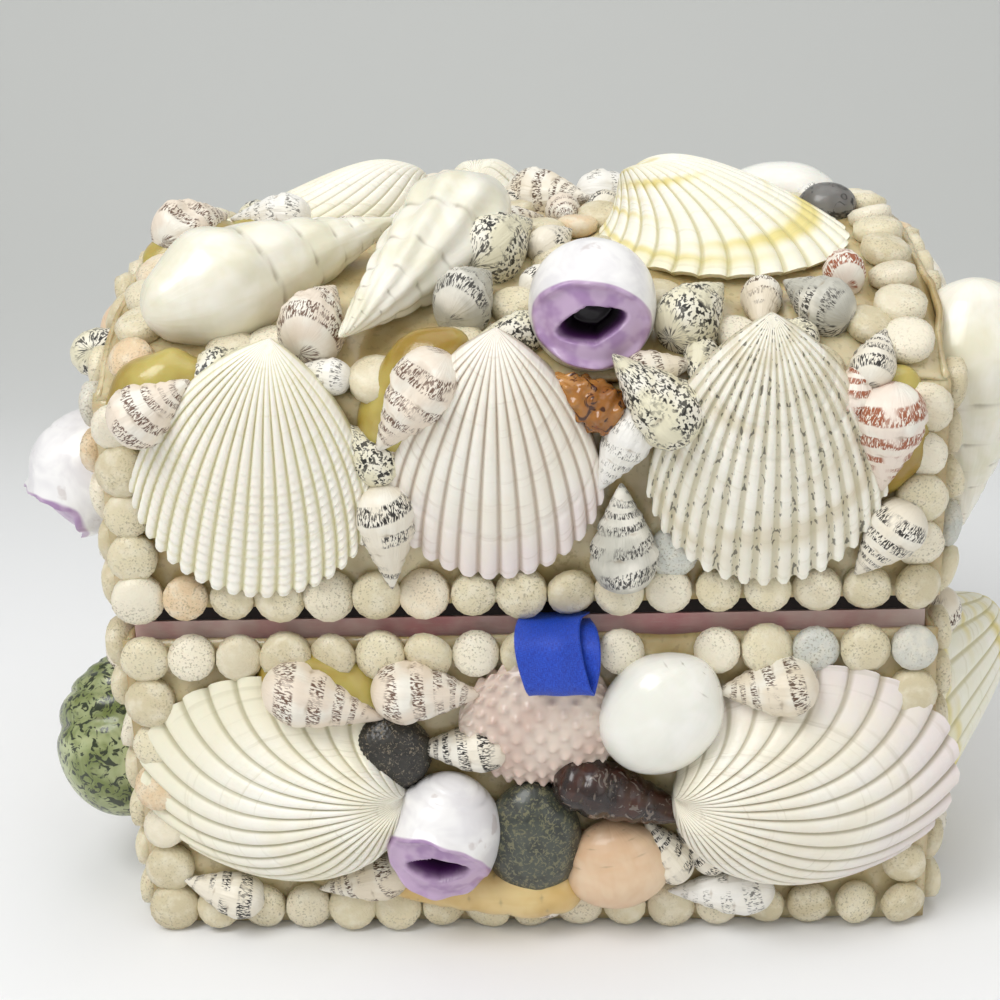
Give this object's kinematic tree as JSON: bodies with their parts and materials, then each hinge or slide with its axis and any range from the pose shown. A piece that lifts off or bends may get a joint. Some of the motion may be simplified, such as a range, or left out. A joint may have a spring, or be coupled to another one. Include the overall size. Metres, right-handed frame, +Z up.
{
  "type": "shell-covered trinket box",
  "caption": "Barrel-topped trinket box covered in sea shells, with a lift-off lid and a blue ribbon loop at the front.",
  "frame": {"origin": "centre of the box's flat underside, on the surface it stands on", "axes": "+Z up, -Y out of the front where the ribbon hangs, +X to the right seen from the front"},
  "size_m": [0.1979, 0.1456, 0.1456],
  "materials": {
    "covered_board": "thin board covered in faded dusty-red paper outside and plain grey-brown inside, matt",
    "satin_ribbon": "royal blue satin ribbon with a fine weave and a soft sheen",
    "bead_shellwork": "cream bead shells and small brown-dashed whelks set in translucent yellowish glue, satin",
    "white_shell": "chalky white to cream sea shell with growth lines, satin",
    "violet_shell": "white snail shell with a glossy violet mouth",
    "green_shell": "turban shell blotched green, black and white, satin",
    "dark_shell": "dark grey-green to black-brown shell, satin",
    "tan_shell": "peach and tan banded shell, satin",
    "brown_shell": "glossy amber-brown shell fragment"
  },
  "bodies": {
    "root": {"base_box": "covered_board", "lid_box": "covered_board", "ribbon_loop": "satin_ribbon", "base_front_shellwork": "bead_shellwork", "base_right_shellwork": "bead_shellwork", "base_back_shellwork": "bead_shellwork", "base_left_shellwork": "bead_shellwork", "violet_snail_low": "violet_shell", "moon_snail_white": "white_shell", "cerith_dark": "dark_shell", "nerite_dark": "dark_shell", "ark_left": "white_shell", "ark_right": "white_shell", "whelk_pimpled": "white_shell", "top_shell_dark": "dark_shell", "bonnet_snail_peach": "tan_shell", "turret_tan": "tan_shell", "ark_right_side": "white_shell", "ark_right_back": "white_shell", "ark_back_left": "white_shell", "ark_back_right": "white_shell", "moon_snail_back": "white_shell", "turban_green": "green_shell", "ark_left_side": "white_shell", "lid_front_shellwork": "bead_shellwork", "lid_top_shellwork": "bead_shellwork", "lid_right_shellwork": "bead_shellwork", "lid_back_shellwork": "bead_shellwork", "lid_left_shellwork": "bead_shellwork", "shell_brown": "brown_shell", "scallop_left": "white_shell", "scallop_middle": "white_shell", "scallop_right": "white_shell", "violet_snail_high": "violet_shell", "auger_long": "white_shell", "auger_short": "white_shell", "top_shell_grey": "dark_shell", "ark_top_right": "white_shell", "ark_top_left": "white_shell", "egg_shell_white": "white_shell", "ark_top_back": "white_shell", "auger_right_side": "white_shell", "scallop_right_side": "white_shell", "moon_snail_right": "white_shell", "scallop_back_left": "white_shell", "scallop_back_middle": "white_shell", "scallop_back_right": "white_shell", "violet_snail_left": "violet_shell", "moon_snail_peach": "tan_shell", "scallop_left_side": "white_shell"}
  },
  "joints": []
}
